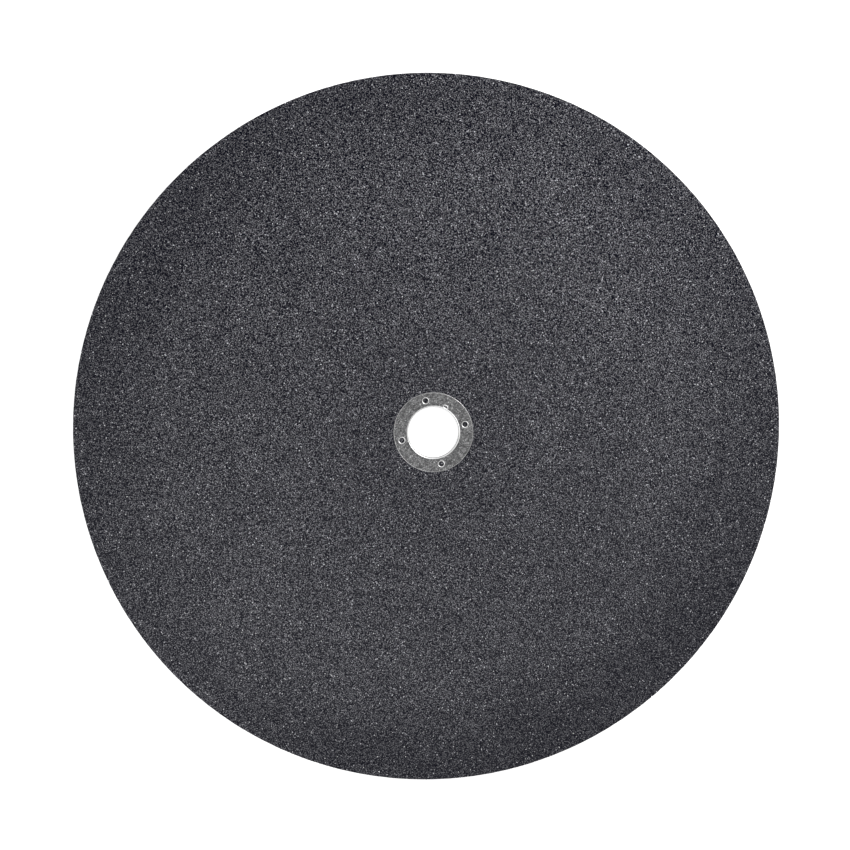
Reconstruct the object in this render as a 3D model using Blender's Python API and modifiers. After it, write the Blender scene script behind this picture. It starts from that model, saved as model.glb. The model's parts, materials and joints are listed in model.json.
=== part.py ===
"""Cutting disc for metal, 355 x 3 x 25.4 mm: an abrasive wheel with a stamped steel ring in its bore.

The disc lies flat on its back face, which is at Z = 0. Its axis is Z, and the ring's flange faces up.
The ring is one piece of sheet: a flat flange, rolled down into a collar that lines the bore. Its
holes are pierced from above, so each has a rounded mouth and a burr that bites into the abrasive.
"""
import math

import bpy

# Driving dimensions, in metres

# Abrasive wheel
DISC_DIAMETER = 0.355
DISC_THICKNESS = 0.003
RIM_ROUNDING = 0.0003        # the moulded edge of the rim, above and below
LEDGE_THICKNESS = 0.0006     # abrasive left under the end of the ring's collar
LEDGE_CLEARANCE = 0.0001     # the ledge stands this far back from the bore, so only steel meets the arbor

# Stamped steel ring
BORE_DIAMETER = 0.0254
SHEET_THICKNESS = 0.0005
FLANGE_WIDTH = 0.0073        # from the bore's wall to the flange's outer edge
FLANGE_PROUD = 0.00015       # the flange stands this far above the abrasive's face
FLANGE_EDGE_ROUNDING = 0.0001
BEND_RADIUS = 0.0004         # inside radius of the roll from the flange down to the collar
COLLAR_END_CHAMFER = 0.00012

# Holes pierced in the flange
HOLE_COUNT = 4
HOLE_START = math.radians(14)
HOLE_DIAMETER = 0.0024
HOLE_ROLL = 0.0007           # radius of the mouth, where the punch drew the sheet down
BURR_DEPTH = 0.0007          # how far each burr reaches below the flange
BURR_WALL = 0.0003           # wall of the burr at its tip, drawn thinner than the sheet

# Notch beside the collar, at the root of the roll
NOTCH_ANGLE = math.radians(64.5)
NOTCH_DIAMETER = 0.0013
NOTCH_ROLL = 0.0007
NOTCH_OFFSET = 0.00045       # from the start of the roll out to the notch's centre

# Fits and cuts
SEAT_GAP = 0.0003            # clearance between the ring and the abrasive it is seated in
MOUTH_LIFT = 0.00002         # a mouth's rounding starts this far above the sheet, for a crisp edge
CUT_MARGIN = 0.0005          # how far a cutter reaches past what it cuts

# Fineness of the round shapes
DISC_STEPS = 144
RING_STEPS = 96
HOLE_STEPS = 24
ROLL_STEPS = 5
EDGE_STEPS = 3
MERGE_DISTANCE = 0.000002
SHARP_ANGLE = math.radians(30)

# Radii and heights that follow from them
disc_radius = DISC_DIAMETER / 2
bore_radius = BORE_DIAMETER / 2
collar_radius = bore_radius + SHEET_THICKNESS
bend_centre_radius = collar_radius + BEND_RADIUS
flange_radius = bore_radius + FLANGE_WIDTH
ring_top = DISC_THICKNESS + FLANGE_PROUD
ring_underside = ring_top - SHEET_THICKNESS
bend_centre_height = ring_underside - BEND_RADIUS
collar_end = LEDGE_THICKNESS + SEAT_GAP
seat_floor = ring_underside - SEAT_GAP
hole_radius = HOLE_DIAMETER / 2
hole_circle_radius = bore_radius + FLANGE_WIDTH / 2
burr_root_radius = hole_radius + SHEET_THICKNESS
burr_tip_radius = hole_radius + BURR_WALL
burr_end = ring_underside - BURR_DEPTH


def clear_scene():
    """Remove every object, so that only the disc is left."""
    for obj in list(bpy.data.objects):
        bpy.data.objects.remove(obj, do_unlink=True)


def new_collection(name):
    """A collection of its own, linked to the scene."""
    collection = bpy.data.collections.new(name)
    bpy.context.scene.collection.children.link(collection)
    return collection


def surface_material(name, colour, roughness, metallic):
    """A plain Principled material in the piece's own colour."""
    material = bpy.data.materials.new(name)
    material.use_nodes = True
    material.diffuse_color = (*colour, 1.0)
    shader = material.node_tree.nodes["Principled BSDF"]
    shader.inputs["Base Color"].default_value = (*colour, 1.0)
    shader.inputs["Roughness"].default_value = roughness
    shader.inputs["Metallic"].default_value = metallic
    return material


def arc(centre, radius, start, end, steps):
    """Points (radius, height) along an arc from one angle to the other, in degrees, ends included."""
    points = []
    for step in range(steps + 1):
        angle = math.radians(start + (end - start) * step / steps)
        points.append((centre[0] + radius * math.cos(angle), centre[1] + radius * math.sin(angle)))
    return points


def turned(name, profile, steps, collection, axis_at=(0.0, 0.0)):
    """A solid turned round Z from (radius, height) points that run down its outer side.

    A profile that starts and ends on the axis is left open there. Any other is a closed loop.
    """
    points = [(radius, 0.0, height) for radius, height in profile]
    edges = [(index, index + 1) for index in range(len(points) - 1)]
    if profile[0][0] > 0.0:
        edges.append((len(points) - 1, 0))
    mesh = bpy.data.meshes.new(name)
    mesh.from_pydata(points, edges, [])
    obj = bpy.data.objects.new(name, mesh)
    obj.location = (*axis_at, 0.0)
    collection.objects.link(obj)
    screw = obj.modifiers.new("Turn", "SCREW")
    screw.steps = steps
    screw.render_steps = steps
    screw.use_merge_vertices = True
    screw.merge_threshold = MERGE_DISTANCE
    return obj


def tool_body(name, profile, steps, collection, axis_at, turn=0.0):
    """A turned solid that only cuts or joins another piece, turned on its own axis by an angle."""
    obj = turned(name, profile, steps, collection, axis_at)
    obj.rotation_euler.z = turn
    obj.hide_render = True
    obj.display_type = "WIRE"
    return obj


def combine(obj, other, operation):
    """Join another solid to this one, or cut it away."""
    boolean = obj.modifiers.new(f"{operation.title()} {other.name}", "BOOLEAN")
    boolean.operation = operation
    boolean.solver = "EXACT"
    boolean.object = other


def settle(obj, material):
    """Keep the shape that the modifiers give as the piece's own mesh, smooth except at its edges."""
    weld = obj.modifiers.new("Weld", "WELD")
    weld.merge_threshold = MERGE_DISTANCE
    bpy.context.view_layer.update()
    graph = bpy.context.evaluated_depsgraph_get()
    mesh = bpy.data.meshes.new_from_object(obj.evaluated_get(graph))
    obj.modifiers.clear()
    obj.data = mesh
    mesh.name = obj.name
    mesh.shade_smooth()
    mesh.set_sharp_from_angle(angle=SHARP_ANGLE)
    mesh.materials.clear()
    mesh.materials.append(material)


def around_ring(radius, angle):
    """The place (x, y) at this radius and angle about the disc's axis."""
    return (radius * math.cos(angle), radius * math.sin(angle))


def hole_places():
    """Where the pierced holes stand, midway across the flange."""
    places = []
    for index in range(HOLE_COUNT):
        angle = HOLE_START + 2 * math.pi * index / HOLE_COUNT
        places.append(around_ring(hole_circle_radius, angle))
    return places


def seat_corner():
    """The abrasive's corner under the roll: concentric with the bend, and square if that is small."""
    corner_radius = BEND_RADIUS - SEAT_GAP
    if corner_radius > MERGE_DISTANCE:
        return arc((bend_centre_radius, bend_centre_height), corner_radius, 180, 90, EDGE_STEPS)
    return [(collar_radius + SEAT_GAP, seat_floor)]


def abrasive_profile():
    """Section of the wheel: rounded rim, flat back, stepped bore and the seat for the flange."""
    rim_centre = disc_radius - RIM_ROUNDING
    well_radius = collar_radius + SEAT_GAP
    seat_radius = flange_radius + SEAT_GAP
    ledge_radius = bore_radius + LEDGE_CLEARANCE
    rim = arc((rim_centre, DISC_THICKNESS - RIM_ROUNDING), RIM_ROUNDING, 90, 0, EDGE_STEPS)
    rim += arc((rim_centre, RIM_ROUNDING), RIM_ROUNDING, 0, -90, EDGE_STEPS)
    bore = [(ledge_radius, 0.0), (ledge_radius, LEDGE_THICKNESS), (well_radius, LEDGE_THICKNESS)]
    seat = [(seat_radius, seat_floor), (seat_radius, DISC_THICKNESS)]
    return rim + bore + seat_corner() + seat


def ring_profile():
    """Section of the ring: flange, roll and collar, all of one sheet."""
    edge_centre = (flange_radius - FLANGE_EDGE_ROUNDING, ring_top - FLANGE_EDGE_ROUNDING)
    bend_centre = (bend_centre_radius, bend_centre_height)
    edge = arc(edge_centre, FLANGE_EDGE_ROUNDING, 90, 0, EDGE_STEPS)
    edge.append((flange_radius, ring_underside))
    inside_of_roll = arc(bend_centre, BEND_RADIUS, 90, 180, ROLL_STEPS)
    collar = [
        (collar_radius, collar_end),
        (bore_radius + COLLAR_END_CHAMFER, collar_end),
        (bore_radius, collar_end + COLLAR_END_CHAMFER),
    ]
    outside_of_roll = arc(bend_centre, BEND_RADIUS + SHEET_THICKNESS, 180, 90, ROLL_STEPS + 2)
    return edge + inside_of_roll + collar + outside_of_roll


def punch_profile(radius, roll, bottom):
    """A punch: straight below, and flared at the top into the rounded mouth that it leaves."""
    mouth_centre = (radius + roll, ring_top - roll + MOUTH_LIFT)
    mouth = arc(mouth_centre, roll, 90, 180, ROLL_STEPS)
    top = ring_top + CUT_MARGIN
    return [(0.0, top), (radius + roll, top)] + mouth + [(radius, bottom), (0.0, bottom)]


def burr_profile():
    """The drawn-down collar of a pierced hole, still solid, rooted in the middle of the sheet."""
    taper = (burr_root_radius - burr_tip_radius) / BURR_DEPTH
    root = ring_underside + SHEET_THICKNESS / 2
    root_radius = burr_root_radius + taper * SHEET_THICKNESS / 2
    return [(0.0, root), (root_radius, root), (burr_tip_radius, burr_end), (0.0, burr_end)]


def pit_profile():
    """The annular pit round a burr, which leaves a core of abrasive standing inside the burr."""
    outer = max(burr_root_radius, burr_tip_radius) + SEAT_GAP
    core = hole_radius - SEAT_GAP
    top = seat_floor + CUT_MARGIN
    floor = burr_end - SEAT_GAP
    return [(outer, top), (outer, floor), (core, floor), (core, top)]


def make_abrasive_disc(parts, cutters):
    """The wheel itself, with its seat for the ring and a pit for each burr."""
    disc = turned("abrasive_disc", abrasive_profile(), DISC_STEPS, parts)
    for number, place in enumerate(hole_places(), start=1):
        pit = tool_body(f"burr_pit_{number}", pit_profile(), HOLE_STEPS, cutters, place)
        combine(disc, pit, "DIFFERENCE")
    settle(disc, surface_material("grey_abrasive", (0.062, 0.062, 0.071), 0.88, 0.0))
    return disc


def make_metal_ring(parts, cutters):
    """The stamped ring: burrs joined under its flange, then the holes and the notch punched through."""
    ring = turned("metal_ring", ring_profile(), RING_STEPS, parts)
    punch_end = burr_end - CUT_MARGIN
    half_step = math.pi / HOLE_STEPS
    for number, place in enumerate(hole_places(), start=1):
        burr = tool_body(f"burr_{number}", burr_profile(), HOLE_STEPS, cutters, place)
        combine(ring, burr, "UNION")
    for number, place in enumerate(hole_places(), start=1):
        profile = punch_profile(hole_radius, HOLE_ROLL, punch_end)
        punch = tool_body(f"hole_punch_{number}", profile, HOLE_STEPS, cutters, place, half_step)
        combine(ring, punch, "DIFFERENCE")
    notch_place = around_ring(bend_centre_radius + NOTCH_OFFSET, NOTCH_ANGLE)
    notch_profile = punch_profile(NOTCH_DIAMETER / 2, NOTCH_ROLL, seat_floor)
    notch_punch = tool_body("notch_punch", notch_profile, HOLE_STEPS, cutters, notch_place, half_step)
    combine(ring, notch_punch, "DIFFERENCE")
    settle(ring, surface_material("stamped_steel", (0.43, 0.43, 0.44), 0.42, 1.0))
    return ring


def main():
    """Build the disc and its ring, both carried by an empty on the axis."""
    clear_scene()
    parts = new_collection("metal_cutting_disc")
    cutters = new_collection("cutters")
    axis = bpy.data.objects.new("disc_axis", None)
    axis.empty_display_size = disc_radius
    parts.objects.link(axis)
    make_abrasive_disc(parts, cutters).parent = axis
    make_metal_ring(parts, cutters).parent = axis
    for cutter in cutters.objects:
        cutter.parent = axis


main()
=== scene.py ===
import json
import math

import bpy
from mathutils import Matrix, Vector

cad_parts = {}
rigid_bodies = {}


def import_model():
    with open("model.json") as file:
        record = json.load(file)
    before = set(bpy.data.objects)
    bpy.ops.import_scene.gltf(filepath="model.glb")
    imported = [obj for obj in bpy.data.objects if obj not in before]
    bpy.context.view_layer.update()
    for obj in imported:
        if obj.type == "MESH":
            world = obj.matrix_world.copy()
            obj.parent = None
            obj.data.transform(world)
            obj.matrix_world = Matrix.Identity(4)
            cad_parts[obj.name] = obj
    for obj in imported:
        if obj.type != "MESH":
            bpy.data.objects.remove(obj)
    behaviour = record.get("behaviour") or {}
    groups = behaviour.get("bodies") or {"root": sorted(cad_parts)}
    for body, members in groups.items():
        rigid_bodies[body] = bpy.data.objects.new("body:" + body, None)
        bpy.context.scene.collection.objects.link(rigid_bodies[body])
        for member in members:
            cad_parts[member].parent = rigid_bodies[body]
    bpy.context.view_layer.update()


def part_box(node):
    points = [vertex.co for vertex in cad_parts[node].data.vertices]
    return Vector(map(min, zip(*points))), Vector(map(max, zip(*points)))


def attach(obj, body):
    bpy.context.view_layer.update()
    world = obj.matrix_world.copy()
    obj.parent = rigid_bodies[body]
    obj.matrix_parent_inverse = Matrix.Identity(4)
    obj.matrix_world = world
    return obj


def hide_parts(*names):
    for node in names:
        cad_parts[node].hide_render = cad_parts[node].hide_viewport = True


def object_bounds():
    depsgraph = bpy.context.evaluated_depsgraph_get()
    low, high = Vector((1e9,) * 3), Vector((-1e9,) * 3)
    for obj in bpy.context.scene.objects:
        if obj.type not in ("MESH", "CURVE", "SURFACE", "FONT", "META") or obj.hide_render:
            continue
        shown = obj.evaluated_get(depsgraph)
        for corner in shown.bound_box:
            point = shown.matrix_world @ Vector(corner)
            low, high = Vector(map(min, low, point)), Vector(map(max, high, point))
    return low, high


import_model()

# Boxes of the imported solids, in metres
wheel_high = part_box("abrasive_disc")[1]
ring_low, ring_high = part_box("metal_ring")

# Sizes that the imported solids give
wheel_radius = wheel_high.x
wheel_thickness = wheel_high.z
ring_radius = ring_high.x
ring_top = ring_high.z

# Driving sizes of the wheel, in metres
BORE_DIAMETER = 0.0254
RIM_ROUNDING = 0.00035
LEDGE_THICKNESS = 0.0006
LEDGE_SETBACK = 0.0001
MOULDED_GAP = 0.00006        # between the flange's edge and the abrasive pressed round it
LIP_ROUNDING = 0.00022       # where the abrasive's face turns down into the seat
SEAT_GAP = 0.0003
WHEEL_STEPS = 432
RING_OF_FACES = 0.0022       # width of each circle of faces on the face and the back
RIM_ARC_STEPS = 4
SEAT_ARC_STEPS = 3
RIM_CIRCLES = (0.7, 0.5, 0.3)    # heights on the rim, as parts of the thickness
RELIEF_SIZE = 0.0042
RELIEF_DEPTH = 0.00013
RAGGED_SIZE = 0.0012
RAGGED_DEPTH = 0.00016
RELIEF_PLACE = (0.31, 0.17, 0.23)
WHEEL_SMOOTH_ANGLE = 50

# Driving sizes of the ring, in metres
SHEET_THICKNESS = 0.0005
FLANGE_EDGE_ROUNDING = 0.00022
BEND_RADIUS = 0.0004
COLLAR_END_CHAMFER = 0.00012
RING_STEPS = 240
ROLL_STEPS = 9
OUTER_ROLL_STEPS = ROLL_STEPS + 3
EDGE_STEPS = 5
RING_SMOOTH_ANGLE = 28
HOLE_STEPS = 48
NOTCH_STEPS = 24
NICK_STEPS = 12
HOLE_COUNT = 4
HOLE_START = math.radians(14)
HOLE_DIAMETER = 0.0024
HOLE_ROLL = 0.0007
BURR_DEPTH = 0.0007
BURR_WALL = 0.0003
NOTCH_ANGLE = math.radians(64.5)
NOTCH_CIRCLE_RADIUS = 0.01415
NOTCH_HALF_LENGTH = 0.00045
DENT_RADIUS = 0.001
DENT_WALL = 0.0005
DENT_DEPTH = 0.00028
NOTCH_HOLE_DIAMETER = 0.0006
NOTCH_HOLE_ROLL = NOTCH_HOLE_DIAMETER / 6
NICKS = [(0.0153, math.radians(115.3)), (0.0136, math.radians(199.6))]
NICK_RADIUS = 0.0002
CUT_MARGIN = 0.0005          # how far a cutting solid reaches past what it cuts
MOUTH_LIFT = 0.00002         # keeps a mouth's flare from ending level with the sheet

# How meshes are drawn
STARTER_SIZE = 0.001
MERGE_DISTANCE = 0.000002
PLACE_DIGITS = 6

# Grit: the pattern's grains divide the wheel's thickness, so its faces cut through their middles
GRIT_SIZE = wheel_thickness / 5
BRIGHT_GRIT_SIZE = wheel_thickness / 4
GRIT_TURN = 0.47             # radians, so that neither pattern lines up with the axes or the other
BRIGHT_GRIT_TURN = 1.2
BRIGHT_GRIT_SHIFT = (0.037, 0.021)
WARPS_PER_GRAIN = 2.0        # how fine the noise is that breaks a grain's outline
GRIT_ROUGHNESS = (0.9, 0.6)
GRIT_SPECULAR = 0.06
DARKEST_GRAIN = 0.130
LIGHTEST_GRAIN = 0.680
BOND_GREY = 0.0085           # resin between the grains
# Rare bright grains: partly pale grains, partly painted glints standing in for the grit's sparkle
BRIGHT_GRIT_RARITY = 40.0    # the power that leaves only a few grains bright
PALE_GRAIN_AND_GLINT_GAIN = 3.2
BLUE_GAIN = 1.06
BLUE_LIFT = 0.006
MIDDLE_GREY = 0.075          # the grey that stays the same where the grit's contrast changes
CLOSE_CONTRAST = 0.86        # at the -Y edge
OPEN_CONTRAST = 1.28         # at the +Y edge
CONTRAST_POWER = 2.0         # above 1, so that most of the change is in the +Y half
DARKEST_GREY = 0.002
LIGHTEST_GREY = 0.9

# Broad shades of the wheel's grey, as factors, and where they run, in metres
RIM_SHADE = 0.76
RIM_SHADE_RADII = (0.122, 0.172)
MIDDLE_SHADE = 0.88
MIDDLE_SHADE_END = 0.065
# Painted shade: the grey darker towards the -Y edge, standing in for light that falls off there
PAINTED_EDGE_SHADE = 0.84
PAINTED_EDGE_SHADE_PLACES = (-0.172, -0.130)
CLOUD_SHADE = 0.08
CLOUD_RANGE = (0.3, 0.7)
CLOUDS_PER_METRE = 26.0
PAINTED_QUARTER_LIGHT = 0.3          # painted light: how much lighter the two opposite quarters of the face towards the softboxes are than the others

# Proud grains: each has a number from 0 to 1, and those past the glint's start shine like metal
GRAIN_GREYS = [              # number, grey and blue cast
    (0.00, 0.030, 0.12),
    (0.30, 0.120, 0.10),
    (0.50, 0.320, 0.06),
    (0.62, 0.620, 0.04),
    (1.00, 0.850, 0.02),
]
GLINT_START = 0.68
GLINT_END = 0.70
GRAIN_FACET_SIZE = 0.00022
GRAIN_MOTTLE = (0.75, 1.2)
GRAIN_ROUGHNESS = (0.55, 0.30)
GRAIN_SPECULAR = 0.4

# The steel's plating
FLAT_GREYS = [               # cast of the plating, grey and blue cast
    (0.30, 0.052, 0.025),
    (0.42, 0.089, 0.020),
    (0.55, 0.136, 0.015),
    (0.66, 0.225, 0.010),
    (0.76, 0.520, 0.010),
]
BURNISH_AND_PAINTED_LIGHT_GREYS = [             # burnished rolls, painted lighter where they face up and darker down steep walls; upward part of the normal, grey and blue cast
    (0.00, 0.130, 0.0),
    (0.25, 0.240, 0.0),
    (0.50, 0.460, 0.0),
    (0.75, 0.650, 0.0),
    (1.00, 0.710, 0.0),
]
STEEL_ROUGHNESS = (0.55, 0.42)
ROUGHNESS_CAST = (0.35, 0.65)
WORKED_POLISH = 0.15
PLATING_SIZE = 0.0005
MOTTLES_PER_METRE = 1900.0
BLOTCHES_PER_METRE = 300.0
MOTTLE_SHARE = 0.4
BLOTCH_SHARE = 0.25
PLATING_SHARE = 0.35
MOTTLE_DEPTH = 0.00004
FLAT_NORMAL = 0.997          # upward part of the normal where the flat sheet ends
WORKED_NORMAL = 0.94         # and where it is fully worked

# Single grains that stand proud of the moulded surface
GRAIN_SHAPES = 6
GRAIN_BLOCK = 1.5            # side of the cube that a grain is cut from, for a radius of one
GRAIN_UNEVENNESS = 0.34
GRAIN_CUTS = 2
CUT_REACH = (0.62, 0.04)     # of the first shape, and more for each later one
CUT_TURN = (2.1, 0.9)        # radians for each cut, and for each shape
CUT_TILT = (0.5, 0.35)       # radians at the first cut, and more at the next
GRAINS_PER_SQUARE_METRE = 88000
RIM_GRAINS_PER_SQUARE_METRE = 420000
SMALLEST_GRAIN = 0.00013     # radius
LARGEST_GRAIN = 0.00027
GRAIN_SINK = 0.00011         # how deep a grain's middle sits below the surface
GRAIN_MARGIN = 0.0006        # bare strip round the ring
LEVEL_NORMAL = 0.8           # least upward or downward part of a face's normal on the face or back
FACE_SEED = 11
BACK_SEED = 23
RIM_SEED = 37

# Studio
CAMERA_PLACE = Vector((-0.04596, 0.03854, 0.59169))
CAMERA_TARGET = Vector((-0.00429, 0.0037, 0.003))
LENS = 50.0
SENSOR = 36.0
CLIP_START = 0.01
TABLE_SIZE = 6.0
TABLE_GREY = 0.80
TABLE_GLOW = 0.70
ROOM_LIGHT = 0.38
SOFTBOXES = [                # name, place, side and power
    ("key", (0.42, 0.40, 0.55), 0.35, 3.5),
    ("fill", (-0.42, -0.40, 0.50), 0.75, 2.4),
]

# Radii and heights that follow
bore_radius = BORE_DIAMETER / 2
collar_radius = bore_radius + SHEET_THICKNESS
bend_centre_radius = collar_radius + BEND_RADIUS
ring_underside = ring_top - SHEET_THICKNESS
bend_centre_height = ring_underside - BEND_RADIUS
collar_end = ring_low.z
seat_floor = ring_underside - SEAT_GAP
hole_radius = HOLE_DIAMETER / 2
hole_circle_radius = (bore_radius + ring_radius) / 2
burr_root_radius = hole_radius + SHEET_THICKNESS
burr_tip_radius = hole_radius + BURR_WALL
burr_end = ring_underside - BURR_DEPTH


def arc(centre, radius, start, end, steps):
    """Points (radius, height) along an arc from one angle to the other, in degrees."""
    points = []
    for step in range(steps + 1):
        angle = math.radians(start + (end - start) * step / steps)
        points.append((centre[0] + radius * math.cos(angle), centre[1] + radius * math.sin(angle)))
    return points


def pick_only(obj):
    """Make this object the only one selected, and the active one."""
    for other in bpy.context.selected_objects:
        other.select_set(False)
    obj.select_set(True)
    bpy.context.view_layer.objects.active = obj


def pick_nothing():
    """Deselect every object."""
    for other in bpy.context.selected_objects:
        other.select_set(False)


def apply_modifier(obj, modifier):
    """Keep in the mesh what a modifier makes of it."""
    pick_only(obj)
    bpy.ops.object.modifier_apply(modifier=modifier.name)


def settle(obj):
    """List the points and faces by their place, so that each run has them in the same order."""
    mesh = obj.data
    places = [tuple(point.co) for point in mesh.vertices]
    order = sorted(range(len(places)), key=lambda i: [round(part, PLACE_DIGITS) for part in places[i]])
    rank = {old: new for new, old in enumerate(order)}
    faces = []
    for face in mesh.polygons:
        corners = [rank[i] for i in face.vertices]
        first = corners.index(min(corners))
        faces.append(corners[first:] + corners[:first])
    mesh.clear_geometry()
    mesh.from_pydata([places[i] for i in order], [], sorted(faces))
    mesh.update()


def spun(name, section, steps, centre=(0.0, 0.0), closed=True, turn=0.0):
    """A piece spun round an upright axis from (radius, height) points of its section.

    The section is drawn by extruding one point along it, then spun and merged.
    """
    pick_nothing()
    heading = Vector((math.cos(turn), math.sin(turn), 0.0))
    middle = Vector((centre[0], centre[1], 0.0))
    places = [middle + heading * radius + Vector((0.0, 0.0, height)) for radius, height in section]
    bpy.ops.mesh.primitive_plane_add(size=STARTER_SIZE, location=places[0])
    obj = bpy.context.active_object
    obj.name = name
    obj.data.name = name
    bpy.ops.object.transform_apply(location=True, rotation=True, scale=True)
    bpy.ops.object.mode_set(mode="EDIT")
    bpy.ops.mesh.select_mode(type="VERT")
    bpy.ops.mesh.select_all(action="SELECT")
    bpy.ops.mesh.merge(type="CENTER")
    for here, there in zip(places, places[1:]):
        bpy.ops.mesh.extrude_vertices_move(TRANSFORM_OT_translate={"value": there - here})
    if closed:
        bpy.ops.mesh.extrude_vertices_move(TRANSFORM_OT_translate={"value": places[0] - places[-1]})
        bpy.ops.mesh.select_all(action="SELECT")
        bpy.ops.mesh.remove_doubles(threshold=MERGE_DISTANCE)
    bpy.ops.mesh.select_all(action="SELECT")
    bpy.ops.mesh.spin(steps=steps, angle=2 * math.pi, center=middle, axis=(0.0, 0.0, 1.0))
    bpy.ops.mesh.select_all(action="SELECT")
    bpy.ops.mesh.remove_doubles(threshold=MERGE_DISTANCE)
    bpy.ops.mesh.normals_make_consistent(inside=False)
    bpy.ops.object.mode_set(mode="OBJECT")
    settle(obj)
    return obj


def combine(obj, tool, operation):
    """Join a solid to this one, or cut it away, and put the tool away."""
    modifier = obj.modifiers.new(operation.title(), "BOOLEAN")
    modifier.operation = operation
    modifier.solver = "EXACT"
    modifier.object = tool
    apply_modifier(obj, modifier)
    bpy.data.objects.remove(tool, do_unlink=True)
    settle(obj)


def around(radius, angle):
    """The place (x, y) at this radius and angle about the disc's axis."""
    return (radius * math.cos(angle), radius * math.sin(angle))


def hole_places():
    """Where the pierced holes stand, midway across the flange."""
    return [around(hole_circle_radius, HOLE_START + 2 * math.pi * i / HOLE_COUNT) for i in range(HOLE_COUNT)]


def circles(start, end):
    """Radii from start to end that split the way into circles of faces about equally wide."""
    count = max(1, round(abs(end - start) / RING_OF_FACES))
    return [start + (end - start) * i / count for i in range(1, count)]


def weigh(obj, name, chosen):
    """A vertex group of the points for which chosen(place) is true."""
    group = obj.vertex_groups.new(name=name)
    group.add([v.index for v in obj.data.vertices if chosen(v.co)], 1.0, "REPLACE")
    return group


def roughen(obj, size, depth, group, seed):
    """Push the surface in and out along its normals by clouds of this size."""
    texture = bpy.data.textures.new(f"{obj.name} clouds", "CLOUDS")
    texture.noise_scale = size
    offset = bpy.data.objects.new("relief place", None)
    offset.location = [seed * part for part in RELIEF_PLACE]
    bpy.context.scene.collection.objects.link(offset)
    bpy.context.view_layer.update()
    modifier = obj.modifiers.new("Relief", "DISPLACE")
    modifier.texture = texture
    modifier.texture_coords = "OBJECT"
    modifier.texture_coords_object = offset
    modifier.strength = depth
    modifier.mid_level = 0.5
    modifier.vertex_group = group.name
    apply_modifier(obj, modifier)
    bpy.data.objects.remove(offset, do_unlink=True)


def finish_piece(obj, material, smooth_angle):
    """Smooth a piece between its edges, give it its material and let it ride on the disc."""
    pick_only(obj)
    bpy.ops.object.shade_smooth_by_angle(angle=math.radians(smooth_angle))
    obj.data.materials.clear()
    obj.data.materials.append(material)
    obj.vertex_groups.clear()
    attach(obj, "root")


# Materials


def place_node(tree, kind, **settings):
    """A node of this kind, with its settings."""
    node = tree.nodes.new(kind)
    for name, value in settings.items():
        setattr(node, name, value)
    return node


def live(sockets, name):
    """The socket of this name that the node's kind of data has switched on."""
    return [socket for socket in sockets if socket.name == name and socket.enabled][0]


def feed(tree, socket, source):
    """Link a socket to a source, or write a plain value on it."""
    if isinstance(source, bpy.types.NodeSocket):
        tree.links.new(source, socket)
    else:
        socket.default_value = source


def sum_node(tree, operation, *values, clamp=False):
    """The result of a Math node."""
    node = place_node(tree, "ShaderNodeMath", operation=operation, use_clamp=clamp)
    for socket, value in zip(node.inputs, values):
        feed(tree, socket, value)
    return node.outputs[0]


def vector_node(tree, operation, *values):
    """The result of a Vector Math node."""
    node = place_node(tree, "ShaderNodeVectorMath", operation=operation)
    for socket, value in zip(node.inputs, values):
        feed(tree, socket, value)
    return node.outputs["Value"] if operation in {"DOT_PRODUCT", "LENGTH"} else node.outputs[0]


def range_node(tree, value, start, end, low, high, smooth=False):
    """A value mapped from one range to another, held at its ends."""
    node = place_node(tree, "ShaderNodeMapRange", clamp=True)
    node.interpolation_type = "SMOOTHSTEP" if smooth else "LINEAR"
    feed(tree, node.inputs["Value"], value)
    node.inputs["From Min"].default_value = start
    node.inputs["From Max"].default_value = end
    node.inputs["To Min"].default_value = low
    node.inputs["To Max"].default_value = high
    return node.outputs["Result"]


def voronoi_node(tree, vector, scale):
    """Cells of a Voronoi texture in three dimensions."""
    node = place_node(tree, "ShaderNodeTexVoronoi", voronoi_dimensions="3D", feature="F1")
    feed(tree, node.inputs["Vector"], vector)
    feed(tree, node.inputs["Scale"], scale)
    return node


def noise_node(tree, vector, scale, detail, roughness):
    """The value of a noise texture in three dimensions."""
    node = place_node(tree, "ShaderNodeTexNoise", noise_dimensions="3D")
    feed(tree, node.inputs["Vector"], vector)
    feed(tree, node.inputs["Scale"], scale)
    node.inputs["Detail"].default_value = detail
    node.inputs["Roughness"].default_value = roughness
    return node.outputs["Fac"]


def group_of(name, inputs, outputs):
    """An empty shader node group with these sockets, and its input and output nodes."""
    tree = bpy.data.node_groups.new(name, "ShaderNodeTree")
    for label, kind, value in inputs:
        socket = tree.interface.new_socket(name=label, in_out="INPUT", socket_type=kind)
        if value is not None:
            socket.default_value = value
    for label, kind in outputs:
        tree.interface.new_socket(name=label, in_out="OUTPUT", socket_type=kind)
    return tree, tree.nodes.new("NodeGroupInput"), tree.nodes.new("NodeGroupOutput")


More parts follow.
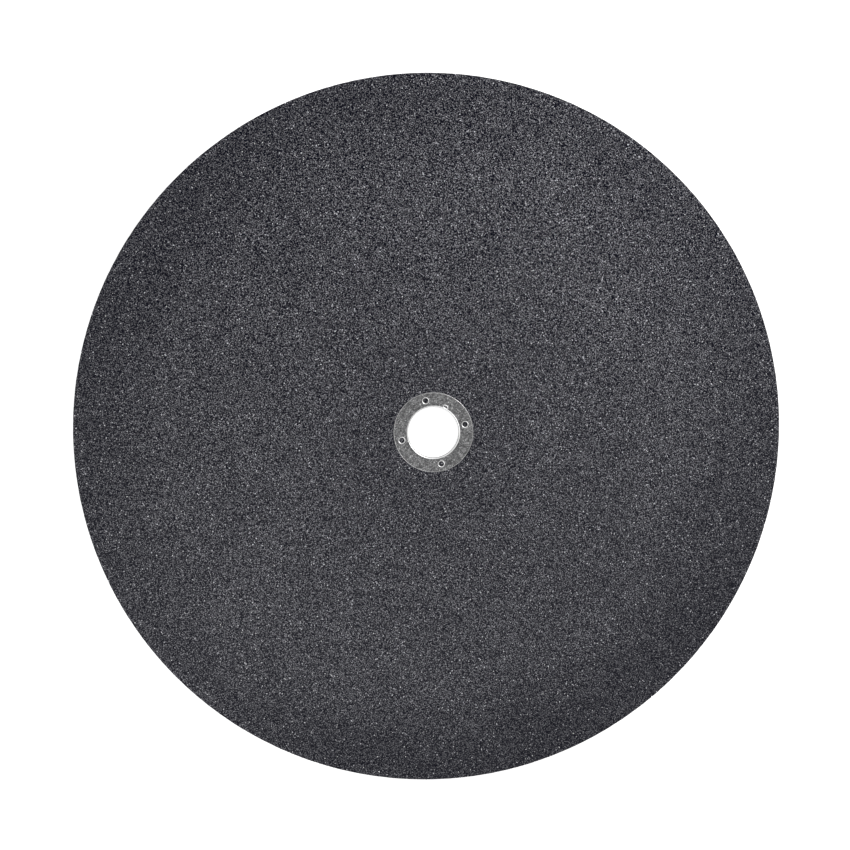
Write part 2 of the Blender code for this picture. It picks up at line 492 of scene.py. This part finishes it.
def grit_group():
    """Grains bonded side by side: each has a tone, a gloss, a clear core and a facet of its own.

    Raggedness breaks their outlines level with the wheel's face, so it still cuts through their middles.
    """
    tree, given, made = group_of(
        "Bonded grains",
        [
            ("Place", "NodeSocketVector", None),
            ("Grain Size", "NodeSocketFloat", GRIT_SIZE),
            ("Looseness", "NodeSocketFloat", 0.8),
            ("Core Start", "NodeSocketFloat", 0.1),
            ("Core End", "NodeSocketFloat", 0.5),
            ("Facet Slope", "NodeSocketFloat", 0.8),
            ("Raggedness", "NodeSocketFloat", 0.0),
        ],
        [
            ("Tone", "NodeSocketFloat"),
            ("Gloss", "NodeSocketFloat"),
            ("Core", "NodeSocketFloat"),
            ("Height", "NodeSocketFloat"),
        ],
    )
    warp = place_node(tree, "ShaderNodeTexNoise", noise_dimensions="3D")
    feed(tree, warp.inputs["Vector"], given.outputs["Place"])
    feed(tree, warp.inputs["Scale"], sum_node(tree, "DIVIDE", WARPS_PER_GRAIN, given.outputs["Grain Size"]))
    warp.inputs["Detail"].default_value = 1.0
    shake = vector_node(tree, "SUBTRACT", warp.outputs["Color"], (0.5, 0.5, 0.5))
    shake = vector_node(tree, "MULTIPLY", shake, (1.0, 1.0, 0.0))
    amount = sum_node(tree, "MULTIPLY", given.outputs["Grain Size"], given.outputs["Raggedness"])
    place = vector_node(tree, "ADD", given.outputs["Place"], scaled_colour(tree, shake, amount))
    cells = voronoi_node(tree, place, sum_node(tree, "DIVIDE", 1.0, given.outputs["Grain Size"]))
    feed(tree, cells.inputs["Randomness"], given.outputs["Looseness"])
    split = place_node(tree, "ShaderNodeSeparateColor")
    feed(tree, split.inputs[0], cells.outputs["Color"])
    core = place_node(tree, "ShaderNodeMapRange", clamp=True)
    feed(tree, core.inputs["Value"], cells.outputs["Distance"])
    feed(tree, core.inputs["From Min"], given.outputs["Core Start"])
    feed(tree, core.inputs["From Max"], given.outputs["Core End"])
    core.inputs["To Min"].default_value = 1.0
    core.inputs["To Max"].default_value = 0.0
    reach = vector_node(tree, "SUBTRACT", place, cells.outputs["Position"])
    lean = vector_node(tree, "SUBTRACT", cells.outputs["Color"], (0.5, 0.5, 0.5))
    facet = vector_node(tree, "DOT_PRODUCT", reach, lean)
    feed(tree, made.inputs["Tone"], split.outputs[0])
    feed(tree, made.inputs["Gloss"], split.outputs[1])
    feed(tree, made.inputs["Core"], core.outputs["Result"])
    feed(tree, made.inputs["Height"], sum_node(tree, "MULTIPLY", facet, given.outputs["Facet Slope"]))
    return tree


def place_group(tree, group, **values):
    """A node group placed in a material with its own values."""
    node = place_node(tree, "ShaderNodeGroup", node_tree=group)
    for label, value in values.items():
        feed(tree, node.inputs[label.replace("_", " ")], value)
    return node


def new_material(name):
    """A material with one Principled shader and the piece's own Object coordinates."""
    material = bpy.data.materials.new(name)
    material.use_nodes = True
    tree = material.node_tree
    shader = tree.nodes["Principled BSDF"]
    place = tree.nodes.new("ShaderNodeTexCoord").outputs["Object"]
    return material, tree, shader, place


def colour_stops(tree, value, stops):
    """Colour for a value, between stops of (position, grey, blue cast)."""
    ramp = place_node(tree, "ShaderNodeValToRGB")
    feed(tree, ramp.inputs["Fac"], value)
    elements = ramp.color_ramp.elements
    while len(elements) < len(stops):
        elements.new(0.5)
    for element, (position, grey, blue) in zip(elements, stops):
        element.position = position
        element.color = (grey, grey, grey * (1.0 + blue), 1.0)
    return ramp.outputs["Color"]


def scaled_colour(tree, colour, factor):
    """A colour multiplied by a plain value."""
    node = place_node(tree, "ShaderNodeVectorMath", operation="SCALE")
    feed(tree, node.inputs[0], colour)
    feed(tree, node.inputs["Scale"], factor)
    return node.outputs[0]


def bump_node(tree, height):
    """A normal from a height in metres."""
    node = place_node(tree, "ShaderNodeBump")
    node.inputs["Strength"].default_value = 1.0
    node.inputs["Distance"].default_value = 1.0
    feed(tree, node.inputs["Height"], height)
    return node.outputs["Normal"]


def turned_place(tree, place, turn, shift):
    """Object coordinates turned about the axis and shifted, so that patterns don't line up."""
    node = place_node(tree, "ShaderNodeMapping")
    feed(tree, node.inputs["Vector"], place)
    node.inputs["Rotation"].default_value = (0.0, 0.0, turn)
    node.inputs["Location"].default_value = shift
    return node.outputs[0]


def bluish(tree, grey):
    """A grey with a faint blue cast."""
    node = place_node(tree, "ShaderNodeCombineColor")
    blue = sum_node(tree, "ADD", sum_node(tree, "MULTIPLY", grey, BLUE_GAIN), BLUE_LIFT)
    for socket, value in zip(node.inputs, (grey, grey, blue)):
        feed(tree, socket, value)
    return node.outputs[0]


def wheel_shading(tree, place):
    """Broad, faint variation of the wheel's grey: cloudy, darker by the ring and towards the rim, with
    painted shade towards the -Y edge and painted light on the quarters towards the softboxes.
    """
    radius = vector_node(tree, "LENGTH", vector_node(tree, "MULTIPLY", place, (1.0, 1.0, 0.0)))
    rim = range_node(tree, radius, *RIM_SHADE_RADII, 1.0, RIM_SHADE, True)
    middle = range_node(tree, radius, ring_radius, MIDDLE_SHADE_END, MIDDLE_SHADE, 1.0, True)
    cloud = noise_node(tree, place, CLOUDS_PER_METRE, detail=3.0, roughness=0.55)
    cloud = range_node(tree, cloud, *CLOUD_RANGE, 1.0 - CLOUD_SHADE, 1.0 + CLOUD_SHADE)
    parts = place_node(tree, "ShaderNodeSeparateXYZ")
    feed(tree, parts.inputs[0], place)
    # Painted light: the quarters towards the two softboxes lighter, the others darker
    painted_quarter_light = sum_node(tree, "MULTIPLY", parts.outputs["X"], parts.outputs["Y"])
    painted_quarter_light = sum_node(tree, "MULTIPLY", painted_quarter_light, PAINTED_QUARTER_LIGHT / wheel_radius ** 2)
    cloud = sum_node(tree, "ADD", cloud, painted_quarter_light)
    # Painted shade towards the -Y edge
    painted_edge_shade = range_node(tree, parts.outputs["Y"], *PAINTED_EDGE_SHADE_PLACES, PAINTED_EDGE_SHADE, 1.0, True)
    rim = sum_node(tree, "MULTIPLY", rim, painted_edge_shade)
    return sum_node(tree, "MULTIPLY", sum_node(tree, "MULTIPLY", rim, middle), cloud)


def grit_contrast(tree, place, grey):
    """Grit that is open and crisp towards +Y and closer towards -Y, about the same middle grey."""
    parts = place_node(tree, "ShaderNodeSeparateXYZ")
    feed(tree, parts.inputs[0], place)
    across = range_node(tree, parts.outputs["Y"], -wheel_radius, wheel_radius, 0.0, 1.0)
    crisp = sum_node(tree, "POWER", across, CONTRAST_POWER)
    crisp = range_node(tree, crisp, 0.0, 1.0, CLOSE_CONTRAST, OPEN_CONTRAST)
    apart = sum_node(tree, "MULTIPLY", sum_node(tree, "SUBTRACT", grey, MIDDLE_GREY), crisp)
    return sum_node(tree, "MAXIMUM", sum_node(tree, "ADD", apart, MIDDLE_GREY), DARKEST_GREY)


def bonded_grit_material(grit):
    """Dark grey grit bonded with resin, as moulded, with a bright grain here and there, partly pale grains
    and partly painted glints.
    """
    material, tree, shader, place = new_material("bonded grit")
    even = turned_place(tree, place, GRIT_TURN, (0.0, 0.0, GRIT_SIZE / 2))
    body = place_group(tree, grit, Place=even, Grain_Size=GRIT_SIZE, Looseness=0.8, Core_Start=0.1,
                       Core_End=0.5, Facet_Slope=0.8, Raggedness=1.2)
    odd = turned_place(tree, place, BRIGHT_GRIT_TURN, (*BRIGHT_GRIT_SHIFT, BRIGHT_GRIT_SIZE / 2))
    bright = place_group(tree, grit, Place=odd, Grain_Size=BRIGHT_GRIT_SIZE, Looseness=0.9, Core_Start=0.15,
                         Core_End=0.4, Facet_Slope=0.6, Raggedness=1.0)
    tone = range_node(tree, body.outputs["Tone"], 0.0, 1.0, DARKEST_GRAIN, LIGHTEST_GRAIN)
    grey = sum_node(tree, "MULTIPLY", tone, body.outputs["Core"])
    # Rare bright grains: partly pale grains, partly painted glints
    pale_grain_and_glint = sum_node(tree, "POWER", bright.outputs["Tone"], BRIGHT_GRIT_RARITY)
    pale_grain_and_glint = sum_node(tree, "MULTIPLY", pale_grain_and_glint, PALE_GRAIN_AND_GLINT_GAIN)
    pale_grain_and_glint = sum_node(tree, "MULTIPLY", pale_grain_and_glint, bright.outputs["Core"])
    grey = sum_node(tree, "ADD", sum_node(tree, "ADD", grey, pale_grain_and_glint), BOND_GREY)
    grey = grit_contrast(tree, place, grey)
    grey = sum_node(tree, "MULTIPLY", grey, wheel_shading(tree, place))
    grey = sum_node(tree, "MINIMUM", grey, LIGHTEST_GREY)
    feed(tree, shader.inputs["Base Color"], bluish(tree, grey))
    rough = range_node(tree, body.outputs["Gloss"], 0.0, 1.0, *GRIT_ROUGHNESS)
    feed(tree, shader.inputs["Roughness"], rough)
    height = sum_node(tree, "ADD", body.outputs["Height"], bright.outputs["Height"])
    feed(tree, shader.inputs["Normal"], bump_node(tree, height))
    shader.inputs["Specular IOR Level"].default_value = GRIT_SPECULAR
    return material


def proud_grain_material(grit):
    """A single broken grain: its own grey, with glossy facets."""
    material, tree, shader, place = new_material("proud grain")
    own = place_node(tree, "ShaderNodeNewGeometry").outputs["Random Per Island"]
    colour = colour_stops(tree, own, GRAIN_GREYS)
    fine = place_group(tree, grit, Place=place, Grain_Size=GRAIN_FACET_SIZE, Looseness=1.0,
                       Core_Start=0.1, Core_End=0.7, Facet_Slope=0.2)
    uneven = range_node(tree, fine.outputs["Tone"], 0.0, 1.0, *GRAIN_MOTTLE)
    feed(tree, shader.inputs["Base Color"], scaled_colour(tree, colour, uneven))
    feed(tree, shader.inputs["Roughness"], range_node(tree, own, 0.0, 1.0, *GRAIN_ROUGHNESS))
    feed(tree, shader.inputs["Metallic"], range_node(tree, own, GLINT_START, GLINT_END, 0.0, 1.0))
    feed(tree, shader.inputs["Normal"], bump_node(tree, fine.outputs["Height"]))
    shader.inputs["Specular IOR Level"].default_value = GRAIN_SPECULAR
    return material


def stamped_steel_material(grit):
    """Dull plated sheet steel: finely mottled on the flat, burnished where it was rolled and pierced, and
    there painted lighter where it faces up and darker down steep walls, as painted highlight and shade.
    """
    material, tree, shader, place = new_material("stamped steel")
    facing = place_node(tree, "ShaderNodeSeparateXYZ")
    feed(tree, facing.inputs[0], tree.nodes["Texture Coordinate"].outputs["Normal"])
    worked_and_painted_light = range_node(tree, facing.outputs["Z"], FLAT_NORMAL, WORKED_NORMAL, 0.0, 1.0, True)
    fine = place_group(tree, grit, Place=place, Grain_Size=PLATING_SIZE, Looseness=1.0, Core_Start=0.1,
                       Core_End=0.9, Facet_Slope=0.1)
    mottle = noise_node(tree, place, MOTTLES_PER_METRE, detail=2.0, roughness=0.6)
    blotch = noise_node(tree, place, BLOTCHES_PER_METRE, detail=2.0, roughness=0.5)
    cast = sum_node(tree, "MULTIPLY", mottle, MOTTLE_SHARE)
    cast = sum_node(tree, "ADD", cast, sum_node(tree, "MULTIPLY", blotch, BLOTCH_SHARE))
    cast = sum_node(tree, "ADD", cast, sum_node(tree, "MULTIPLY", fine.outputs["Tone"], PLATING_SHARE))
    flat = colour_stops(tree, cast, FLAT_GREYS)
    # Painted highlight and shade on the burnished rolls and walls: lighter where the surface faces up,
    # darker where it is steep
    rolled = colour_stops(tree, facing.outputs["Z"], BURNISH_AND_PAINTED_LIGHT_GREYS)
    mix = place_node(tree, "ShaderNodeMix", data_type="RGBA")
    feed(tree, live(mix.inputs, "Factor"), worked_and_painted_light)
    feed(tree, live(mix.inputs, "A"), flat)
    feed(tree, live(mix.inputs, "B"), rolled)
    feed(tree, shader.inputs["Base Color"], live(mix.outputs, "Result"))
    rough = range_node(tree, cast, *ROUGHNESS_CAST, *STEEL_ROUGHNESS)
    rough = sum_node(tree, "SUBTRACT", rough, sum_node(tree, "MULTIPLY", worked_and_painted_light, WORKED_POLISH))
    feed(tree, shader.inputs["Roughness"], rough)
    shader.inputs["Metallic"].default_value = 1.0
    height = sum_node(tree, "ADD", sum_node(tree, "MULTIPLY", mottle, MOTTLE_DEPTH), fine.outputs["Height"])
    feed(tree, shader.inputs["Normal"], bump_node(tree, height))
    return material


# Pieces


def wheel_section():
    """Section of the wheel, from the ledge out under the ring, over the face and rim, and back."""
    well_radius = collar_radius + SEAT_GAP
    ledge_radius = bore_radius + LEDGE_SETBACK
    seat_radius = ring_radius + MOULDED_GAP
    rim_centre = wheel_radius - RIM_ROUNDING
    section = [(ledge_radius, 0.0), (ledge_radius, LEDGE_THICKNESS), (well_radius, LEDGE_THICKNESS)]
    section += arc((bend_centre_radius, bend_centre_height), BEND_RADIUS - SEAT_GAP, 180, 90, SEAT_ARC_STEPS)
    section += [(hole_circle_radius, seat_floor), (seat_radius, seat_floor)]
    face_start = seat_radius + LIP_ROUNDING
    lip_centre = (face_start, wheel_thickness - LIP_ROUNDING)
    section += arc(lip_centre, LIP_ROUNDING, 180, 90, SEAT_ARC_STEPS)
    section += [(radius, wheel_thickness) for radius in circles(face_start, rim_centre)]
    section += arc((rim_centre, wheel_thickness - RIM_ROUNDING), RIM_ROUNDING, 90, 0, RIM_ARC_STEPS)
    section += [(wheel_radius, wheel_thickness * part) for part in RIM_CIRCLES]
    section += arc((rim_centre, RIM_ROUNDING), RIM_ROUNDING, 0, -90, RIM_ARC_STEPS)
    section += [(radius, 0.0) for radius in circles(rim_centre, ledge_radius)]
    return section


def make_wheel(material):
    """The abrasive wheel, moulded right up to the ring, with a pit for each burr."""
    wheel = spun("abrasive_wheel", wheel_section(), WHEEL_STEPS)
    outer = burr_root_radius + SEAT_GAP
    core = hole_radius - SEAT_GAP / 2
    pit = [(core, seat_floor + CUT_MARGIN), (outer, seat_floor + CUT_MARGIN)]
    pit += [(outer, burr_end - SEAT_GAP), (core, burr_end - SEAT_GAP)]
    for place in hole_places():
        combine(wheel, spun("pit", pit, HOLE_STEPS, place), "DIFFERENCE")
    free_radius = ring_radius + MOULDED_GAP + LIP_ROUNDING / 2

    def is_open(place):
        radius = math.hypot(place.x, place.y)
        return radius > free_radius or (place.z < LEDGE_THICKNESS / 2 and radius > collar_radius)

    def is_edge(place):
        return math.hypot(place.x, place.y) > wheel_radius - RIM_ROUNDING

    moulded = weigh(wheel, "moulded", is_open)
    roughen(wheel, RELIEF_SIZE, RELIEF_DEPTH, moulded, 1)
    edge = weigh(wheel, "edge", is_edge)
    roughen(wheel, RAGGED_SIZE, RAGGED_DEPTH, edge, 2)
    finish_piece(wheel, material, WHEEL_SMOOTH_ANGLE)
    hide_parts("abrasive_disc")
    return wheel


def grain_shapes(material):
    """A few broken grains with a radius of about one, cut to flat facets, in their own collection."""
    shelf = bpy.data.collections.new("grain shapes")
    bpy.context.scene.collection.children.link(shelf)
    for number in range(GRAIN_SHAPES):
        pick_nothing()
        bpy.ops.mesh.primitive_cube_add(size=GRAIN_BLOCK, location=(0.0, 0.0, 0.0))
        grain = bpy.context.active_object
        grain.name = f"grain_{number + 1}"
        bpy.ops.object.mode_set(mode="EDIT")
        bpy.ops.mesh.select_all(action="SELECT")
        bpy.ops.transform.vertex_random(offset=GRAIN_UNEVENNESS, seed=number + 1)
        reach = CUT_REACH[0] + CUT_REACH[1] * number
        for cut in range(GRAIN_CUTS):
            turn = CUT_TURN[0] * cut + CUT_TURN[1] * number
            tilt = CUT_TILT[0] + CUT_TILT[1] * cut
            away = Vector((math.cos(turn) * math.cos(tilt), math.sin(turn) * math.cos(tilt), math.sin(tilt)))
            if cut == 1:
                away.z = -away.z
            bpy.ops.mesh.select_all(action="SELECT")
            bpy.ops.mesh.bisect(plane_co=away * reach, plane_no=away, use_fill=True, clear_outer=True)
        bpy.ops.mesh.select_all(action="SELECT")
        bpy.ops.mesh.normals_make_consistent(inside=False)
        bpy.ops.object.mode_set(mode="OBJECT")
        settle(grain)
        grain.data.materials.append(material)
        for holder in list(grain.users_collection):
            holder.objects.unlink(grain)
        shelf.objects.link(grain)
    return shelf


def scatter_tree(shelf, density, seed):
    """Geometry nodes that set grains into a surface at random, turned every way and of many sizes."""
    tree = bpy.data.node_groups.new("Set grains", "GeometryNodeTree")
    tree.interface.new_socket(name="Geometry", in_out="INPUT", socket_type="NodeSocketGeometry")
    tree.interface.new_socket(name="Geometry", in_out="OUTPUT", socket_type="NodeSocketGeometry")
    given = tree.nodes.new("NodeGroupInput")
    made = tree.nodes.new("NodeGroupOutput")
    spread = place_node(tree, "GeometryNodeDistributePointsOnFaces", distribute_method="RANDOM")
    feed(tree, spread.inputs["Mesh"], given.outputs[0])
    spread.inputs["Density"].default_value = density
    spread.inputs["Seed"].default_value = seed
    sink = place_node(tree, "ShaderNodeVectorMath", operation="SCALE")
    feed(tree, sink.inputs[0], spread.outputs["Normal"])
    sink.inputs["Scale"].default_value = -GRAIN_SINK
    sunk = place_node(tree, "GeometryNodeSetPosition")
    feed(tree, sunk.inputs["Geometry"], spread.outputs["Points"])
    feed(tree, sunk.inputs["Offset"], sink.outputs[0])
    shapes = place_node(tree, "GeometryNodeCollectionInfo")
    shapes.inputs["Collection"].default_value = shelf
    shapes.inputs["Separate Children"].default_value = True
    shapes.inputs["Reset Children"].default_value = True
    turn = place_node(tree, "FunctionNodeRandomValue", data_type="FLOAT_VECTOR")
    live(turn.inputs, "Max").default_value = (2 * math.pi, 2 * math.pi, 2 * math.pi)
    turn.inputs["Seed"].default_value = seed + 1
    size = place_node(tree, "FunctionNodeRandomValue", data_type="FLOAT")
    live(size.inputs, "Min").default_value = SMALLEST_GRAIN
    live(size.inputs, "Max").default_value = LARGEST_GRAIN
    size.inputs["Seed"].default_value = seed + 2
    copies = place_node(tree, "GeometryNodeInstanceOnPoints")
    feed(tree, copies.inputs["Points"], sunk.outputs[0])
    feed(tree, copies.inputs["Instance"], shapes.outputs[0])
    copies.inputs["Pick Instance"].default_value = True
    feed(tree, copies.inputs["Rotation"], live(turn.outputs, "Value"))
    feed(tree, copies.inputs["Scale"], live(size.outputs, "Value"))
    real = place_node(tree, "GeometryNodeRealizeInstances")
    feed(tree, real.inputs[0], copies.outputs[0])
    feed(tree, made.inputs[0], real.outputs[0])
    return tree


def make_grains(name, wheel, chosen, shelf, density, seed, material):
    """Proud grains over the part of the wheel whose faces are chosen by centre and normal."""
    pick_only(wheel)
    bpy.ops.object.duplicate()
    bed = bpy.context.active_object
    bed.name = name
    bed.data.name = name
    for key in list(bed.keys()):
        if key.startswith("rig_"):
            del bed[key]
    bed.parent = None
    for face in bed.data.polygons:
        face.select = not chosen(face.center, face.normal)
    for edge in bed.data.edges:
        edge.select = False
    for point in bed.data.vertices:
        point.select = False
    bpy.ops.object.mode_set(mode="EDIT")
    bpy.ops.mesh.select_mode(type="FACE")
    bpy.ops.mesh.delete(type="FACE")
    bpy.ops.object.mode_set(mode="OBJECT")
    modifier = bed.modifiers.new("Grains", "NODES")
    modifier.node_group = scatter_tree(shelf, density, seed)
    apply_modifier(bed, modifier)
    bed.data.materials.clear()
    bed.data.materials.append(material)
    pick_only(bed)
    bpy.ops.object.shade_flat()
    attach(bed, "root")


def ring_section():
    """Section of the ring: flange, roll and collar, all of one sheet."""
    edge_centre = (ring_radius - FLANGE_EDGE_ROUNDING, ring_top - FLANGE_EDGE_ROUNDING)
    bend_centre = (bend_centre_radius, bend_centre_height)
    section = arc(edge_centre, FLANGE_EDGE_ROUNDING, 90, 0, EDGE_STEPS)
    section.append((ring_radius, ring_underside))
    section += arc(bend_centre, BEND_RADIUS, 90, 180, ROLL_STEPS)
    section += [
        (collar_radius, collar_end),
        (bore_radius + COLLAR_END_CHAMFER, collar_end),
        (bore_radius, collar_end + COLLAR_END_CHAMFER),
    ]
    section += arc(bend_centre, BEND_RADIUS + SHEET_THICKNESS, 180, 90, OUTER_ROLL_STEPS)
    return section


def punch_section(radius, roll, bottom):
    """A punch, flared at its top into the rounded mouth that it leaves, closed on its own axis."""
    mouth_centre = (radius + roll, ring_top - roll + MOUTH_LIFT)
    top = ring_top + CUT_MARGIN
    section = [(0.0, top), (radius + roll, top)]
    section += arc(mouth_centre, roll, 90, 180, ROLL_STEPS)
    return section + [(radius, bottom), (0.0, bottom)]


def dent_section():
    """A shallow dent with a sloping wall and a flat floor, closed on its own axis."""
    section = [(0.0, ring_top + CUT_MARGIN), (DENT_RADIUS, ring_top + CUT_MARGIN)]
    for step in range(EDGE_STEPS + 1):
        part = step / EDGE_STEPS
        fall = DENT_DEPTH * (1.0 - math.cos(math.pi * part)) / 2
        section.append((DENT_RADIUS - DENT_WALL * part, ring_top + MOUTH_LIFT - fall))
    return section + [(0.0, ring_top + MOUTH_LIFT - DENT_DEPTH)]


def burr_section():
    """The drawn-down collar of a pierced hole, still solid, rooted in the middle of the sheet."""
    taper = (burr_root_radius - burr_tip_radius) / BURR_DEPTH
    root = ring_underside + SHEET_THICKNESS / 2
    root_radius = burr_root_radius + taper * SHEET_THICKNESS / 2
    return [(0.0, root), (root_radius, root), (burr_tip_radius, burr_end), (0.0, burr_end)]


def make_ring(material):
    """The stamped ring: burrs joined under its flange, then the holes and the notch punched through."""
    ring = spun("stamped_ring", ring_section(), RING_STEPS)
    half_step = math.pi / HOLE_STEPS
    for place in hole_places():
        combine(ring, spun("burr", burr_section(), HOLE_STEPS, place, closed=False), "UNION")
    for place in hole_places():
        section = punch_section(hole_radius, HOLE_ROLL, burr_end - CUT_MARGIN)
        combine(ring, spun("punch", section, HOLE_STEPS, place, False, half_step), "DIFFERENCE")
    aside = NOTCH_HALF_LENGTH / NOTCH_CIRCLE_RADIUS
    for angle in (NOTCH_ANGLE - aside, NOTCH_ANGLE, NOTCH_ANGLE + aside):
        dent = spun("dent", dent_section(), HOLE_STEPS, around(NOTCH_CIRCLE_RADIUS, angle), False, half_step)
        combine(ring, dent, "DIFFERENCE")
    notch_place = around(NOTCH_CIRCLE_RADIUS, NOTCH_ANGLE - aside)
    section = punch_section(NOTCH_HOLE_DIAMETER / 2, NOTCH_HOLE_ROLL, seat_floor)
    combine(ring, spun("notch", section, NOTCH_STEPS, notch_place, False, half_step), "DIFFERENCE")
    for radius, angle in NICKS:
        section = punch_section(NICK_RADIUS / 2, NICK_RADIUS, ring_top - NICK_RADIUS)
        nick = spun("nick", section, NICK_STEPS, around(radius, angle), False, half_step)
        combine(ring, nick, "DIFFERENCE")
    pick_only(ring)
    bpy.ops.object.mode_set(mode="EDIT")
    bpy.ops.mesh.select_all(action="SELECT")
    bpy.ops.mesh.remove_doubles(threshold=MERGE_DISTANCE)
    bpy.ops.object.mode_set(mode="OBJECT")
    settle(ring)
    finish_piece(ring, material, RING_SMOOTH_ANGLE)
    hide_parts("metal_ring")


# Studio


def seen_directly(tree):
    """One for rays from the camera, a reflection or glass, and nought for the light that falls on things."""
    rays = tree.nodes.new("ShaderNodeLightPath")
    total = sum_node(tree, "ADD", rays.outputs["Is Camera Ray"], rays.outputs["Is Glossy Ray"])
    return sum_node(tree, "ADD", total, rays.outputs["Is Transmission Ray"], clamp=True)


def make_floor(height):
    """A white table under the disc, bright to the eye, that still takes the disc's shadow."""
    pick_nothing()
    bpy.ops.mesh.primitive_plane_add(size=TABLE_SIZE, location=(0.0, 0.0, height))
    floor = bpy.context.active_object
    floor.name = "table_top"
    material = bpy.data.materials.new("white table")
    material.use_nodes = True
    tree = material.node_tree
    tree.nodes.remove(tree.nodes["Principled BSDF"])
    diffuse = tree.nodes.new("ShaderNodeBsdfDiffuse")
    diffuse.inputs["Color"].default_value = (TABLE_GREY, TABLE_GREY, TABLE_GREY, 1.0)
    glow = tree.nodes.new("ShaderNodeEmission")
    glow.inputs["Color"].default_value = (1.0, 1.0, 1.0, 1.0)
    feed(tree, glow.inputs["Strength"], sum_node(tree, "MULTIPLY", seen_directly(tree), TABLE_GLOW))
    both = tree.nodes.new("ShaderNodeAddShader")
    feed(tree, both.inputs[0], diffuse.outputs[0])
    feed(tree, both.inputs[1], glow.outputs[0])
    feed(tree, tree.nodes["Material Output"].inputs["Surface"], both.outputs[0])
    floor.data.materials.append(material)


def make_world():
    """White surroundings to the eye, and a softer, even light on things."""
    world = bpy.data.worlds.new("studio")
    bpy.context.scene.world = world
    world.use_nodes = True
    tree = world.node_tree
    background = tree.nodes["Background"]
    background.inputs["Color"].default_value = (1.0, 1.0, 1.0, 1.0)
    seen = seen_directly(tree)
    feed(tree, background.inputs["Strength"], range_node(tree, seen, 0.0, 1.0, ROOM_LIGHT, 1.0))


def make_light(name, place, size, power):
    """A square softbox aimed at the middle of the disc."""
    data = bpy.data.lights.new(name, "AREA")
    data.shape = "SQUARE"
    data.size = size
    data.energy = power
    lamp = bpy.data.objects.new(name, data)
    bpy.context.scene.collection.objects.link(lamp)
    lamp.location = place
    lamp.rotation_euler = (-Vector(place)).to_track_quat("-Z", "Y").to_euler()


def make_camera():
    """The camera nearly overhead, its top edge towards +Y."""
    data = bpy.data.cameras.new("camera")
    data.lens = LENS
    data.sensor_width = SENSOR
    data.clip_start = CLIP_START
    camera = bpy.data.objects.new("camera", data)
    bpy.context.scene.collection.objects.link(camera)
    ahead = (CAMERA_TARGET - CAMERA_PLACE).normalized()
    right = ahead.cross(Vector((0.0, 1.0, 0.0))).normalized()
    up = right.cross(ahead)
    turn = Matrix((right, up, -ahead)).transposed()
    camera.matrix_world = Matrix.Translation(CAMERA_PLACE) @ turn.to_4x4()
    bpy.context.scene.camera = camera


grit = grit_group()
grit_material = bonded_grit_material(grit)
grain_material = proud_grain_material(grit)
wheel = make_wheel(grit_material)
shelf = grain_shapes(grain_material)
rim_line = wheel_radius - RIM_ROUNDING


def on_face(centre, normal):
    """Whether a face of the wheel lies on its open face."""
    return normal.z > LEVEL_NORMAL and math.hypot(centre.x, centre.y) > ring_radius + GRAIN_MARGIN


def on_back(centre, normal):
    """Whether a face of the wheel lies on its back."""
    return normal.z < -LEVEL_NORMAL and centre.z < LEDGE_THICKNESS / 2


def on_rim(centre, normal):
    """Whether a face of the wheel lies on its rim or the rounding of it."""
    return math.hypot(centre.x, centre.y) > rim_line


make_grains("face_grains", wheel, on_face, shelf, GRAINS_PER_SQUARE_METRE, FACE_SEED, grain_material)
make_grains("back_grains", wheel, on_back, shelf, GRAINS_PER_SQUARE_METRE, BACK_SEED, grain_material)
make_grains("rim_grains", wheel, on_rim, shelf, RIM_GRAINS_PER_SQUARE_METRE, RIM_SEED, grain_material)
for grain in list(shelf.objects):
    bpy.data.objects.remove(grain, do_unlink=True)
bpy.data.collections.remove(shelf)
make_ring(stamped_steel_material(grit))

make_camera()
make_world()
low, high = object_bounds()
make_floor(low.z)
for name, place, size, power in SOFTBOXES:
    make_light(name, place, size, power)
bpy.context.scene.view_settings.view_transform = "Standard"
